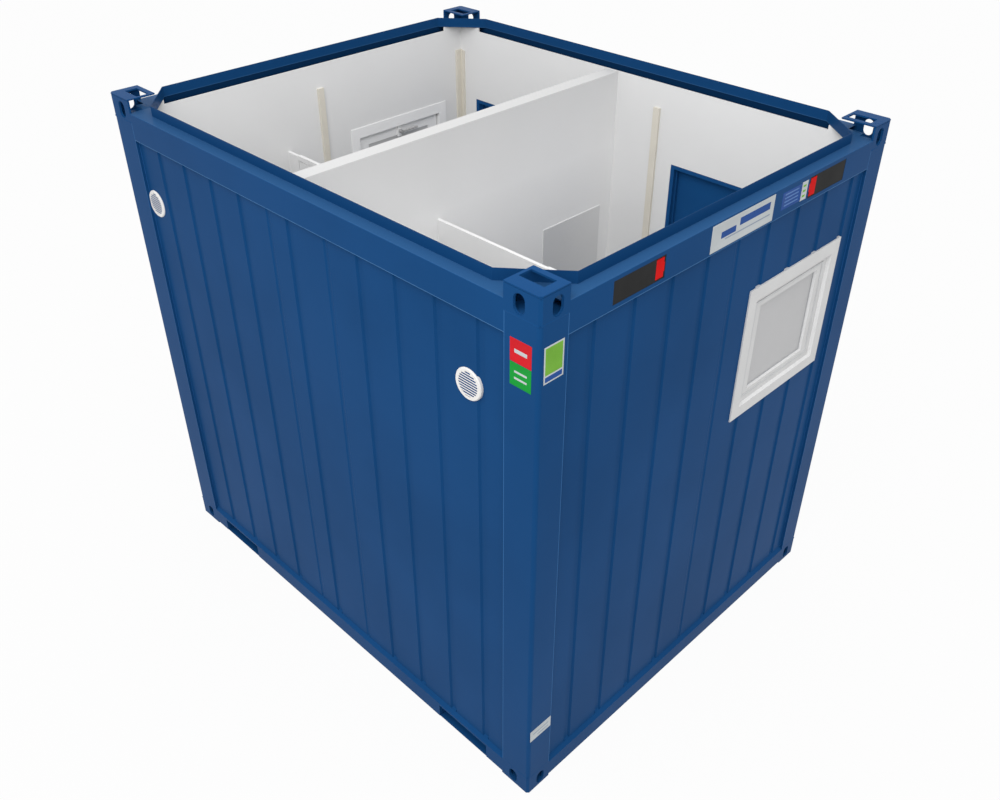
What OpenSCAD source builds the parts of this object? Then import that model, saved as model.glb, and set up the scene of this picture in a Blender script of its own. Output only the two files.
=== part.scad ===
// Sanitary container, ten feet long, two rooms, open at the top
// Millimetres; X runs along the long side, Z up, the origin lies under the middle on the ground
// The outer doors are on the -Y side, the two ventilation grilles on the +Y side

/* [Outside] */
// length over the corner castings
length = 2989; // [2600:1:3200]
// width over the corner castings
width = 2435; // [2300:1:2500]
// height over the corner castings
height = 2810; // [2600:1:2900]
// width of a corner post on the long side
post_x = 175; // [150:1:178]
// width of a corner post on the short side
post_y = 150; // [140:1:152]
// depth of the wall sheet behind the post
recess = 17.5; // [10:0.5:30]
// height of the roof rail
rail_h = 139; // [100:1:160]
// height of the upright lip above the roof shelf
lip_h = 51; // [30:1:60]
// clear width of a fork pocket
pocket_w = 352; // [300:1:400]
// middle of a fork pocket from the end of the container
pocket_in = 469.5; // [440:0.5:520]

/* [Wall sheets] */
// pitch of the grooves
groove_pitch = 237.6; // [200:0.1:250]
// width of a groove at the face
groove_w = 46; // [30:1:60]
// depth of a groove
groove_d = 8; // [4:0.5:9]
// sheet thickness
sheet_t = 2; // [1:0.5:3]

/* [Rooms] */
// whole thickness of the end walls
wall_x = 97; // [90:0.5:110]
// whole thickness of the long walls
wall_y = 97.5; // [90:0.5:110]
// lining thickness
lining_t = 12; // [8:1:16]
// top of the floor covering
floor_z = 157; // [140:1:160]
// left face of the partition
part_x = 88; // [0:1:120]
// thickness of the partition
part_t = 85; // [60:1:100]
// room side of the cubicle walls
cabin_y = 260; // [200:1:300]
// thickness of the cubicle walls
cabin_t = 20; // [16:1:30]
// top of the cubicle walls
cabin_top = 2262; // [2100:1:2300]

/* [Doors and windows] */
// width of an outer door leaf
door_w = 858; // [800:1:870]
// height of an outer door leaf
door_h = 2120; // [2000:1:2140]
// thickness of an outer door leaf
door_t = 39; // [37:0.5:44]
// middle of the left outer door from the left end
door_l_in = 723; // [700:0.5:740]
// middle of the right outer door from the right end
door_r_in = 674; // [660:0.5:690]
// width of the wall opening of a window
win_w = 680; // [600:1:720]
// height of the wall opening of a window
win_h = 613; // [560:1:640]
// middle of the windows from the front side
win_in = 639.5; // [600:0.5:660]
// middle of the windows below the roof rail
win_drop = 692.5; // [650:0.5:720]
// width of a cubicle door
cabin_w = 612; // [560:1:640]
// diameter of the ventilation grilles
grille_d = 120; // [100:1:124]
// diameter of the flange round a grille
flange_d = 145; // [138:1:150]
// middle of the ventilation grilles below the roof rail
vent_drop = 330; // [300:1:350]
// middle of the left grille from the left end
vent_in = 380.5; // [360:0.5:420]

/* [Sanitary ware] */
// width of a toilet bowl
bowl_w = 364; // [340:1:380]
// height of a toilet bowl
bowl_h = 400; // [380:1:420]
// width of the larger wash basin
basin_w = 500; // [450:1:550]
// height of the wash basins above the floor
basin_h = 850; // [800:1:900]
// height of the mirrors
mirror_h = 600; // [500:1:700]

/* [Hidden] */
hx = length / 2;
hy = width / 2;
cast_x = 178;
cast_y = 152;
cast_h = 118;
rail_z = 12;
sill_z = 131;
shelf_z = height - 70;
beam_z = shelf_z - rail_h;
pocket_x = hx - pocket_in;
joists = [209.5 - hx, 734.5 - hx, -380, 0, 340, hx - 774.5, hx - 249.5];
room_x = hx - wall_x;
room_y = hy - wall_y;
door_l = door_l_in - hx;
door_r = hx - door_r_in;
door_top = sill_z + 20 + door_h;
dw = door_w / 2;
df = recess - hy;
lever_z = floor_z + 1050;
hinge_z = [sill_z + 199, sill_z + 20 + door_h / 2 - 61, door_top - 301];
win_y = win_in - hy;
win_z = beam_z - win_drop;
ww = win_w / 2;
wh = win_h / 2;
wx = hx - recess - groove_d;
sash_x = room_x + 12;
vent_z = beam_z - vent_drop;
vent_l = vent_in - hx;
vent_r = hx - post_x - grille_d / 2 - 2.5;
tube_r = grille_d / 2 - 3.5;
cabin_x = room_x - 412.5;
cw = cabin_w / 2;
cabin_hinges = [floor_z + 210, floor_z + 1000, floor_z + 1790];
br = bowl_w / 2;
seat_x = 215;
wc_y = room_y - 420;
basin_y = 348 - room_y;
inlet_y = hy - 544.5;
inlet_z = shelf_z - 69.5;
inlet_w = 155;
inlet_h = 50.5;
blue = "#2A5078";
white = "#D2D2D2";
pin = 0.05;
$fn = 48;

// box between two opposite corners
module b(p, q) {
  translate(p)
    cube(q - p);
}

module both_x() {
  children();
  mirror([1, 0, 0])
    children();
}

module both_y() {
  children();
  mirror([0, 1, 0])
    children();
}

module corners() {
  both_x()
    both_y()
      children();
}

// upright, long and cross cylinders from their lower end
module cz(p, r, h) {
  translate(p)
    cylinder(r = r, h = h);
}

module cy(p, r, h) {
  translate(p)
    rotate([-90, 0, 0])
      cylinder(r = r, h = h);
}

module cx(p, r, h) {
  translate(p)
    rotate([0, 90, 0])
      cylinder(r = r, h = h);
}

// straight form with one round end: an upright outline turned about Z at x1 and drawn from x0 to x1
module round_ended(side, x0, x1) {
  translate([x1, 0, 0])
    rotate_extrude()
      polygon(side);
  translate([x0, 0, 0])
    rotate([90, 0, 90])
      linear_extrude(x1 - x0)
        polygon(concat(side, [for (i = [len(side) - 2 : -1 : 1]) [-side[i][0], side[i][1]]]));
}

// tapered trough with two round ends
module trough(r1, r2, h, half) {
  for (s = [-1, 1])
    translate([0, s * half, 0])
      cylinder(r1 = r1, r2 = r2, h = h);
  translate([0, half, 0])
    rotate([90, 0, 0])
      linear_extrude(2 * half)
        polygon([[-r1, 0], [r1, 0], [r2, h], [-r2, h]]);
}

// round bar along X with turned ends
module bar_x(p, r, h) {
  translate(p)
    rotate([0, 90, 0])
      rotate_extrude()
        polygon([[0, -r], [r * 0.6, -r * 0.8], [r * 0.92, -r * 0.4], [r, 0], [r, h], [r * 0.92, h + r * 0.4],
          [r * 0.6, h + r * 0.8], [0, h + r]]);
}

// upright slot with round ends, cut along Y and along X
module slot_y(p, w, h, t) {
  for (s = [-1, 1])
    cy(p + [0, 0, s * (h - w) / 2], w / 2, t);
  b(p - [w / 2, 0, (h - w) / 2], p + [w / 2, t, (h - w) / 2]);
}

module slot_x(p, w, h, t) {
  for (s = [-1, 1])
    cx(p + [0, 0, s * (h - w) / 2], w / 2, t);
  b(p - [0, w / 2, (h - w) / 2], p + [t, w / 2, (h - w) / 2]);
}

// outline of a wall sheet with its grooves, outer face on the X axis
function groove(g) = [[g[0] - g[1] / 2, 0], [g[0] - g[1] / 2 + 8, -g[2]],
  [g[0] + g[1] / 2 - 8, -g[2]], [g[0] + g[1] / 2, 0]];
function face(a, gs) = concat([[-a, 0]], [for (g = gs) if (abs(g[0]) + g[1] < a) each groove(g)], [[a, 0]]);
function behind(line, t) = [for (i = [len(line) - 1 : -1 : 0]) [line[i][0], line[i][1] - t]];
function row(joint, s) = [for (k = [0 : 3]) [joint + s * (226 + groove_pitch * (s > 0 ? k : 3 - k)),
  groove_w, groove_d]];
long_g = concat(row(-242, -1), [[-242, 30, 4], [21, groove_w, groove_d], [179, 30, 4]], row(179, 1));
short_g = concat(row(-22, -1), [[-22, 30, 4]], row(-22, 1));

module sheet(a, gs) {
  translate([0, 0, sill_z])
    linear_extrude(beam_z - sill_z)
      polygon(concat(face(a, gs), behind(face(a, gs), sheet_t)));
}

// everything behind the outer face of a wall sheet
module behind_sheet(a, gs) {
  translate([0, 0, sill_z])
    linear_extrude(beam_z - sill_z)
      polygon(concat(face(a, gs), [[a, -60], [-a, -60]]));
}

module long_place() {
  translate([0, hy - recess, 0])
    children();
}

module short_place() {
  translate([hx - recess, 0, 0])
    mirror([1, 0, 0])
      rotate(90)
        children();
}

// casting blocks that rails and pan keep clear of
module casting_room(z0, z1) {
  corners()
    b([hx - cast_x, hy - cast_y, z0], [hx + 1, hy + 1, z1]);
}

// lower rails, joists and fork pockets
module floor_rail(n) {
  polygon([[n, rail_z], [n, 111], [n - recess, sill_z], [n - 100, sill_z], [n - 100, sill_z - 4],
    [n - 19, sill_z - 4], [n - 4, 110], [n - 4, rail_z + 4], [n - 60, rail_z + 4], [n - 60, rail_z]]);
}

module pockets(g, z0, z1) {
  both_x()
    b([pocket_x - pocket_w / 2 - g, -hy - 1 + g, z0], [pocket_x + pocket_w / 2 + g, hy + 1 - g, z1]);
}

module joist(x) {
  translate([x, hy - 100, 0])
    rotate([90, 0, 0])
      linear_extrude(width - 200)
        polygon([[0, 18], [0, sill_z], [40, sill_z], [40, sill_z - 3], [3, sill_z - 3], [3, 21],
          [40, 21], [40, 18]]);
}

// drip tongues on the ledge at the foot of the grooves
module tongues(a, gs) {
  for (g = gs)
    if (abs(g[0]) + g[1] < a)
      translate([g[0] - g[1] / 2 + 8, 0, sill_z - 2])
        rotate([90, 0, 90])
          linear_extrude(g[1] - 16)
            polygon([[-g[2], 0], [0, 0], [-g[2], 14]]);
}

module floor_frame() {
  color("#27496F") {
    difference() {
      both_y()
        long_place()
          tongues(hx - post_x, long_g);
      for (x = [door_l, door_r])
        b([x - dw - 48, -hy, sill_z - 3], [x + dw + 48, -room_y, sill_z + 20]);
    }
    both_x()
      short_place()
        tongues(hy - post_y, short_g);
    difference() {
      union() {
        both_y()
          translate([-hx + post_x, 0, 0])
            rotate([90, 0, 90])
              linear_extrude(length - 2 * post_x)
                floor_rail(hy);
        both_x()
          translate([0, hy - post_y, 0])
            rotate([90, 0, 0])
              linear_extrude(width - 2 * post_y)
                floor_rail(hx);
      }
      casting_room(-1, cast_h);
      pockets(0, 0, 97);
    }
    difference() {
      both_x()
        b([pocket_x - pocket_w / 2 - 4, -hy + 4, rail_z - 4], [pocket_x + pocket_w / 2 + 4, hy - 4, 101]);
      pockets(0, rail_z, 97);
    }
    for (x = joists)
      joist(x);
  }
}

module floor_pan() {
  color("#3A3F45")
    difference() {
      b([-hx + 14, -hy + 17, 16], [hx - 14, hy - 17, 18]);
      casting_room(0, 30);
      both_x()
        b([pocket_x - pocket_w / 2 - 4, -hy, 0], [pocket_x + pocket_w / 2 + 4, hy, 30]);
    }
}

module openings() {
  for (x = [door_l, door_r])
    b([x - dw - 28.5, -hy, sill_z], [x + dw + 28.5, -room_y - lining_t, door_top + 29]);
  both_x()
    b([room_x, win_y - ww, win_z - wh], [hx, win_y + ww, win_z + wh]);
  for (x = [vent_l, vent_r])
    cy([x, room_y, vent_z], tube_r, 100);
}

module insulation() {
  color("#E3D9A8") {
    difference() {
      b([-hx + 100, -hy + 100, 18], [hx - 100, hy - 100, sill_z - 4]);
      casting_room(0, cast_h);
      both_x()
        b([pocket_x - pocket_w / 2 - 4, -hy, 0], [pocket_x + pocket_w / 2 + 4, hy, 101]);
      for (x = joists)
        b([x, -hy, 0], [x + 40, hy, sill_z]);
    }
    difference() {
      union() {
        both_y()
          b([-hx + post_x, room_y + lining_t, sill_z],
            [hx - post_x, hy - recess - groove_d - sheet_t, beam_z]);
        both_x()
          b([room_x + lining_t, -hy + post_y, sill_z],
            [hx - recess - groove_d - sheet_t, hy - post_y, beam_z]);
      }
      openings();
    }
  }
}

module floor_board() {
  color("#9C7B52")
    b([-room_x, -room_y, sill_z], [room_x, room_y, floor_z - 2]);
}

module floor_covering() {
  color("#8E9499")
    b([-room_x, -room_y, floor_z - 2], [room_x, room_y, floor_z]);
}

// corner posts, hollow and angled around the corner of the rooms
module post_outline() {
  difference() {
    union() {
      translate([hx - post_x, room_y + lining_t])
        square([post_x, hy - room_y - lining_t]);
      translate([room_x + lining_t, hy - post_y])
        square([hx - room_x - lining_t, post_y]);
    }
    difference() {
      translate([hx - 18, hy - 18])
        square(20);
      translate([hx - 18, hy - 18])
        circle(18);
    }
  }
}

module post_hollow() {
  translate([hx - post_x + 4, room_y + lining_t + 4])
    square([post_x - 22, hy - room_y - lining_t - 8]);
  translate([room_x + lining_t + 4, hy - post_y + 4])
    square([hx - room_x - lining_t - 8, post_y - 22]);
}

module corner_posts() {
  color(blue)
    corners()
      translate([0, 0, cast_h])
        linear_extrude(height - 2 * cast_h)
          difference() {
            post_outline();
            post_hollow();
          }
}

// corner castings with their slots
module castings_bottom() {
  x0 = hx - cast_x;
  y0 = hy - cast_y;
  color("#234A74")
    corners()
      difference() {
        b([x0, y0, 0], [hx, hy, cast_h]);
        b([x0 + 12, y0 + 12, 20], [hx - 14, hy - 14, cast_h - 10]);
        slot_y([hx - 101.5, hy - 30, 54], 51, 79.5, 40);
        slot_x([hx - 30, hy - 89, 54], 51, 79.5, 40);
        for (s = [-1, 1])
          cz([hx - 101.5 + s * 30.25, hy - 89, -1], 31.75, 30);
        b([hx - 131.75, hy - 120.75, -1], [hx - 71.25, hy - 57.25, 29]);
        translate([hx, hy, -1])
          rotate(45)
            b([-8, -20, 0], [20, 20, cast_h + 2]);
      }
}

module castings_top() {
  x0 = hx - cast_x;
  y0 = hy - cast_y;
  z0 = height - cast_h;
  color("#234A74")
    corners() {
      difference() {
        b([x0, y0, z0], [hx, hy, height - 8]);
        b([x0 - 1, y0 - 1, z0 + 8], [hx - 10, hy - 10, height]);
        b([x0 - 1, y0 - 1, z0 - 1], [room_x + lining_t, room_y + lining_t, height]);
        slot_y([hx - 101.5, hy - 20, height - 66], 51, 79.5, 40);
        slot_x([hx - 20, hy - 89, height - 66], 51, 79.5, 40);
        slot_y([hx - 101.5, hy - 2.5, height - 66], 57, 85.5, 40);
        slot_x([hx - 2.5, hy - 89, height - 66], 57, 85.5, 40);
        translate([hx, hy, z0 - 1])
          rotate(45)
            b([-8, -20, 0], [20, 20, cast_h + 2]);
      }
      difference() {
        b([x0 + 2, y0 + 2, height - 8], [hx - 2, hy - 2, height - 6]);
        b([hx - 163.5, hy - 125.5, height - 20], [hx - 41.5, hy - 60.5, height + 1]);
      }
      difference() {
        b([x0, y0, height - 6], [hx, hy, height]);
        b([hx - 163.5, hy - 125.5, height - 20], [hx - 41.5, hy - 60.5, height + 1]);
        translate([hx, hy, z0 - 1])
          rotate(45)
            b([-8, -20, 0], [20, 20, cast_h + 2]);
      }
    }
}

// roof frame: rails, shelf with cut corners, lip and inner web
module eight(o) {
  a = hx - 294.5 + 0.4 * o;
  c = hy - 257.5 + 0.5 * o;
  x = hx - 61.5 + o;
  y = hy - 62.5 + o;
  polygon([[a, y], [x, c], [x, -c], [a, -y], [-a, -y], [-x, -c], [-x, c], [-a, y]]);
}

module roof_rail(n, inner) {
  polygon([[n, beam_z], [n, shelf_z - 2], [n - 2, shelf_z], [n - 10, shelf_z], [n - 10, shelf_z - 4],
    [n - 4, shelf_z - 6], [n - 4, beam_z + 4], [inner, beam_z + 4], [inner, beam_z]]);
}

module web_line() {
  polygon([[1, 0], [3.5, 0], [-0.5, 46], [-3, 46]]);
}

module roof_frame() {
  color(blue) {
    difference() {
      union() {
        both_y()
          translate([-hx + post_x, 0, 0])
            rotate([90, 0, 90])
              linear_extrude(length - 2 * post_x)
                roof_rail(hy, room_y + lining_t);
        both_x()
          translate([0, hy - post_y, 0])
            rotate([90, 0, 0])
              linear_extrude(width - 2 * post_y)
                roof_rail(hx, room_x + lining_t);
      }
      casting_room(height - cast_h, height + 1);
      both_y()
        b([-hx - 1, inlet_y - inlet_w, inlet_z - inlet_h],
          [-hx + 20, inlet_y + inlet_w, inlet_z + inlet_h]);
    }
    translate([0, 0, shelf_z - 4])
      linear_extrude(4)
        difference() {
          square([length - 20, width - 20], center = true);
          eight(0);
          corners()
            translate([hx - 166, hy - 128])
              square([166, 128]);
        }
    translate([0, 0, shelf_z - 4])
      linear_extrude(lip_h + 4)
        difference() {
          eight(3);
          eight(0);
        }
    both_y()
      translate([300 - hx, hy - 56, shelf_z - 50])
        rotate([90, 0, 90])
          linear_extrude(length - 600)
            web_line();
    both_x()
      translate([hx - 56, hy - 260, shelf_z - 50])
        rotate([90, 0, 0])
          linear_extrude(width - 520)
            web_line();
  }
}

// wall sheets
module cladding_front() {
  color(blue)
    difference() {
      mirror([0, 1, 0])
        long_place()
          sheet(hx - post_x, long_g);
      openings();
    }
}

module cladding_back() {
  color(blue)
    difference() {
      long_place()
        sheet(hx - post_x, long_g);
      for (x = [vent_l, vent_r])
        cy([x, room_y, vent_z], flange_d / 2, 100);
    }
}

module cladding_side() {
  color(blue)
    difference() {
      short_place()
        sheet(hy - post_y, short_g);
      openings();
    }
}

module cladding_left() {
  mirror([1, 0, 0])
    cladding_side();
}

module cladding_right() {
  cladding_side();
}

// wall linings, higher in the corners
module lining_long() {
  b([-room_x - lining_t, room_y, sill_z], [room_x + lining_t, room_y + lining_t, shelf_z - 28]);
  both_x()
    b([hx - 262, room_y, shelf_z - 28], [room_x + lining_t, room_y + lining_t, shelf_z - 4]);
}

module lining_front() {
  color(white)
    difference() {
      mirror([0, 1, 0])
        lining_long();
      for (x = [door_l, door_r])
        b([x - dw - 8.5, -hy, sill_z - 1], [x + dw + 8.5, -room_y + 1, door_top + 9]);
    }
}

module lining_back() {
  color(white)
    difference() {
      lining_long();
      openings();
    }
}

module lining_side() {
  color(white)
    difference() {
      union() {
        b([room_x, -room_y, sill_z], [room_x + lining_t, room_y, shelf_z - 28]);
        both_y()
          b([room_x, hy - 232, shelf_z - 28], [room_x + lining_t, room_y, shelf_z - 4]);
      }
      openings();
    }
}

module lining_ends() {
  both_x()
    lining_side();
}

// partition, cubicle walls and cable ducts
module partition() {
  color("#CFCFCF")
    difference() {
      b([part_x, -room_y, floor_z], [part_x + part_t, room_y, shelf_z - 28]);
      for (k = [0 : 3])
        translate([part_x + 12, 40 - room_y + k * (room_y - 20) / 2, floor_z - 1])
          cube([part_t - 24, (room_y - 20) / 2 - 40, shelf_z - floor_z - 60]);
    }
}

module cabin_walls() {
  color("#CDCDCD") {
    difference() {
      b([-room_x, cabin_y, floor_z], [part_x, cabin_y + cabin_t, cabin_top]);
      b([-cabin_x - cw - 4, cabin_y - 1, floor_z - 1],
        [-cabin_x + cw + 4, cabin_y + cabin_t + 1, cabin_top + 1]);
    }
    difference() {
      b([part_x + part_t, cabin_y, floor_z], [room_x, cabin_y + cabin_t, cabin_top]);
      b([cabin_x - cw - 4, cabin_y - 1, floor_z - 1],
        [cabin_x + cw + 4, cabin_y + cabin_t + 1, cabin_top + 1]);
    }
    both_x() {
      b([cabin_x - cw - 14, cabin_y - 2, cabin_top - 24], [cabin_x + cw + 14, cabin_y, cabin_top + 4]);
      b([cabin_x - cw - 4, cabin_y, cabin_top - 24], [cabin_x + cw + 4, cabin_y + cabin_t, cabin_top + 4]);
      for (z = cabin_hinges)
        cabin_hinge(cabin_x - cw - 2, z);
    }
  }
}

// fixed knuckles and pin of a cubicle door
module cabin_hinge(x, z) {
  cz([x, cabin_y - 4, z], 4, 24.5);
  cz([x, cabin_y - 4, z + 55.5], 4, 24.5);
  cz([x, cabin_y - 4, z], 2, 80);
  b([x - 32, cabin_y - 3, z], [x, cabin_y, z + 24.5]);
  b([x - 32, cabin_y - 3, z + 55.5], [x, cabin_y, z + 80]);
}

module joint_strips() {
  color("#C9C4BA") {
    b([part_x - 316, -room_y, floor_z], [part_x - 274, -room_y + 14, beam_z - 25]);
    b([room_x - 14, -10, floor_z], [room_x, 30, beam_z - 25]);
    b([room_x - 14, -room_y, floor_z], [room_x, -room_y + 47, beam_z - 25]);
    b([room_x - 39.5, -room_y, floor_z], [room_x - 14, -room_y + 14, beam_z - 31]);
  }
}

// windows: frame, tilting sash, pane and handle
module window_ring(x0, x1, a, z0, z1, c, d) {
  difference() {
    b([x0, win_y - a, win_z - z0], [x1, win_y + a, win_z + z1]);
    b([x0 - 1, win_y - c, win_z - d], [x1 + 1, win_y + c, win_z + d]);
  }
}

module window_frame() {
  color("#C6C6C6") {
    difference() {
      window_ring(wx, hx - recess + 7, ww + 54, wh + 49, wh + 62, ww - 10, wh - 10);
      difference() {
        short_place()
          behind_sheet(hy - post_y, short_g);
        b([room_x, win_y - ww, win_z - wh], [hx, win_y + ww, win_z + wh]);
      }
    }
    window_ring(room_x - 5, wx, ww, wh, wh, ww - 10, wh - 10);
    window_ring(wx - 14, wx - 6, ww - 5, wh - 5, wh - 5, ww - 43, wh - 41.5);
    window_ring(room_x - 5, room_x, ww + 51, wh + 42, wh + 55, ww - 10, wh - 10);
    for (s = [-1, 1])
      translate([sash_x, win_y + s * (ww - 120) - 36, win_z - wh + 19.5]) {
        cy([0, 0, 0], 5, 20);
        cy([0, 52, 0], 5, 20);
        cy([0, 0, 0], 2.5, 72);
        b([-5, 0, -9.5], [5, 20, 0]);
        b([-5, 52, -9.5], [5, 72, 0]);
      }
  }
}

module pane_room() {
  b([sash_x + 10.5, win_y - ww + 80, win_z - wh + 61], [wx - 23, win_y + ww - 80, win_z + wh - 65]);
}

module window_sash() {
  color("#CBCBCB") {
    difference() {
      union() {
        b([sash_x + 5.5, win_y - ww + 18, win_z - wh + 16.5], [wx - 16, win_y + ww - 18, win_z + wh - 16.5]);
        b([wx - 16, win_y - ww + 49, win_z - wh + 47.5], [wx - 6, win_y + ww - 49, win_z + wh - 47.5]);
      }
      b([sash_x - 9, win_y - ww + 90, win_z - wh + 71], [wx, win_y + ww - 90, win_z + wh - 75]);
      pane_room();
    }
    for (s = [-1, 1])
      translate([sash_x, win_y + s * (ww - 120) - 15, win_z - wh + 19.5])
        difference() {
          union() {
            cy([0, -0.5, 0], 5, 31);
            b([0, -0.5, -3], [6, 30.5, 5]);
          }
          cy([0, -2, 0], 2.5 + pin, 34);
        }
    difference() {
      b([sash_x - 4.5, win_y - 14, win_z + wh - 84], [sash_x + 5.5, win_y + 14, win_z + wh - 19]);
      cx([sash_x - 5.5, win_y, win_z + wh - 49], 5 + pin, 12);
    }
  }
}

module window_glass() {
  color("#B5B5B5")
    pane_room();
}

module window_handle() {
  color("#DADADA") {
    cx([sash_x - 31.5, win_y, win_z + wh - 49], 5, 37);
    cx([sash_x - 31.5, win_y, win_z + wh - 49], 11, 26);
    translate([sash_x - 24.5, win_y, win_z + wh - 49])
      rotate(-90)
        bar_x([0, 0, 0], 6, 130);
  }
}

module window_frame_left() {
  mirror([1, 0, 0])
    window_frame();
}

module window_frame_right() {
  window_frame();
}

module window_sash_left() {
  mirror([1, 0, 0])
    window_sash();
}

module window_sash_right() {
  window_sash();
}

module window_glass_left() {
  mirror([1, 0, 0])
    window_glass();
}

module window_glass_right() {
  window_glass();
}

module window_handle_left() {
  mirror([1, 0, 0])
    window_handle();
}

module window_handle_right() {
  window_handle();
}

// outer doors, drawn about their middle with the hinges at +X
module at_left() {
  translate([door_l, 0, 0])
    mirror([1, 0, 0])
      children();
}

module at_right() {
  translate([door_r, 0, 0])
    children();
}

module door_frame() {
  color("#2F5480") {
    difference() {
      union() {
        b([-dw - 28.5, df, sill_z], [dw + 28.5, df + door_t - 3, door_top + 29]);
        b([-dw - 8.5, df + door_t - 3, sill_z], [dw + 8.5, -room_y - 2, door_top + 9]);
        b([-dw - 46, df - 5, sill_z], [dw + 46, df, door_top + 45]);
      }
      b([-dw + 15.5, -room_y - 26, sill_z + 29], [dw - 15.5, -room_y - 1, door_top - 15]);
      b([-dw + 24, df + door_t - 9, sill_z + 34], [dw - 24, -room_y - 20, door_top - 21]);
      b([-dw - 2.5, df - 10, sill_z + 17], [dw + 2.5, df + door_t - 3, door_top + 3]);
      b([-dw - 17, df + door_t - 19.5, lever_z - 12], [-dw - 2, df + door_t - 9.5, lever_z + 12]);
    }
    for (z = hinge_z)
      translate([dw + 1, df - 11.4, z]) {
        cz([0, 0, 0], 6, 34.5);
        cz([0, 0, 75.5], 6, 34.5);
        cz([0, 0, 0], 3, 110);
        b([0, 1, 0], [34, 6.5, 34.5]);
        b([0, 1, 75.5], [34, 6.5, 110]);
      }
  }
}

module door_leaf() {
  color(blue) {
    difference() {
      b([-dw, df - 4, sill_z + 20], [dw, df - 4 + door_t, door_top]);
      difference() {
        b([-dw + 3, df - 1.5, sill_z + 19], [dw - 3, df + door_t - 6.5, door_top - 3]);
        b([-dw, df - 5, lever_z - 60], [-dw + 190, df + door_t, lever_z + 120]);
        for (z = hinge_z)
          b([dw - 60, df - 5, z], [dw, df + door_t, z + 110]);
      }
      b([-dw + 37, df - 5, lever_z - 20], [-dw + 179, df + 14, lever_z + 83]);
      b([-dw + 5, df + door_t - 21, lever_z - 19], [-dw + 84, df + door_t - 8, lever_z + 19]);
      b([-dw - 1, df + door_t - 19, lever_z - 10.5], [-dw + 6, df + door_t - 10, lever_z + 10.5]);
      cy([-dw + 64, df + 10, lever_z], 5 + pin, door_t - 9);
    }
    difference() {
      cy([-dw + 64, df + door_t - 4, lever_z], 24, 5);
      cy([-dw + 64, df + door_t - 5, lever_z], 5 + pin, 8);
    }
    for (z = hinge_z)
      translate([dw + 1, df - 11.4, z + 35])
        difference() {
          union() {
            cz([0, 0, 0], 6, 40);
            b([-46, 1, 0], [0, 7.4, 40]);
          }
          cz([0, 0, -1], 3 + pin, 42);
        }
  }
}

module door_handle() {
  color("#B9BCC0") {
    cy([-dw + 64, df, lever_z], 5, door_t + 33);
    cy([-dw + 64, df + door_t - 19, lever_z], 8, 9);
    cy([-dw + 64, df + door_t + 3, lever_z], 10, 34);
    bar_x([-dw + 64, df + door_t + 27, lever_z], 8.5, 113);
    cy([-dw + 64, df - 2, lever_z], 11, 16);
    bar_x([-dw + 64, df + 5, lever_z], 6.5, 99);
  }
}

module door_bolt() {
  color("#9EA2A6")
    b([-dw + 0.5, df + door_t - 18.5, lever_z - 10], [-dw + 41, df + door_t - 10.5, lever_z + 10]);
}

module door_frame_left() {
  at_left()
    door_frame();
}

module door_frame_right() {
  at_right()
    door_frame();
}

module door_leaf_left() {
  at_left()
    door_leaf();
}

module door_leaf_right() {
  at_right()
    door_leaf();
}

module door_handle_left() {
  at_left()
    door_handle();
}

module door_handle_right() {
  at_right()
    door_handle();
}

module door_bolt_left() {
  at_left()
    door_bolt();
}

module door_bolt_right() {
  at_right()
    door_bolt();
}

// cubicle doors with a turning lock bar
module cabin_door() {
  color("#D4D4D4") {
    difference() {
      b([cabin_x - cw, cabin_y + 1, floor_z + 12], [cabin_x + cw, cabin_y + cabin_t - 1, cabin_top - 28]);
      cy([cabin_x + cw - 60, cabin_y, floor_z + 1000], 5 + pin, 30);
    }
    for (z = cabin_hinges)
      translate([cabin_x - cw - 2, cabin_y - 4, z])
        difference() {
          union() {
            cz([0, 0, 25], 4, 30);
            b([0, 1, 25], [35, 5, 55]);
          }
          cz([0, 0, 24], 2 + pin, 32);
        }
  }
}

module cabin_lock() {
  color("#B9BCC0") {
    translate([cabin_x + cw - 60, cabin_y, floor_z + 1000]) {
      cy([0, -16, 0], 16, 16);
      cy([0, -10, 0], 5, cabin_t + 10);
      cy([0, cabin_t, 0], 12, 12);
      b([-8, cabin_t + 1.5, 0], [8, cabin_t + 5.5, 85]);
    }
  }
}

module cabin_door_left() {
  mirror([1, 0, 0])
    cabin_door();
}

module cabin_door_right() {
  cabin_door();
}

module cabin_lock_left() {
  mirror([1, 0, 0])
    cabin_lock();
}

module cabin_lock_right() {
  cabin_lock();
}

// toilets, drawn with the wall at X = 0 and the floor at Z = 0
module wc_left() {
  translate([part_x, wc_y, floor_z])
    mirror([1, 0, 0])
      children();
}

module wc_right() {
  translate([part_x + part_t, wc_y, floor_z])
    children();
}

module wc_both() {
  wc_left()
    children();
  wc_right()
    children();
}

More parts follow.
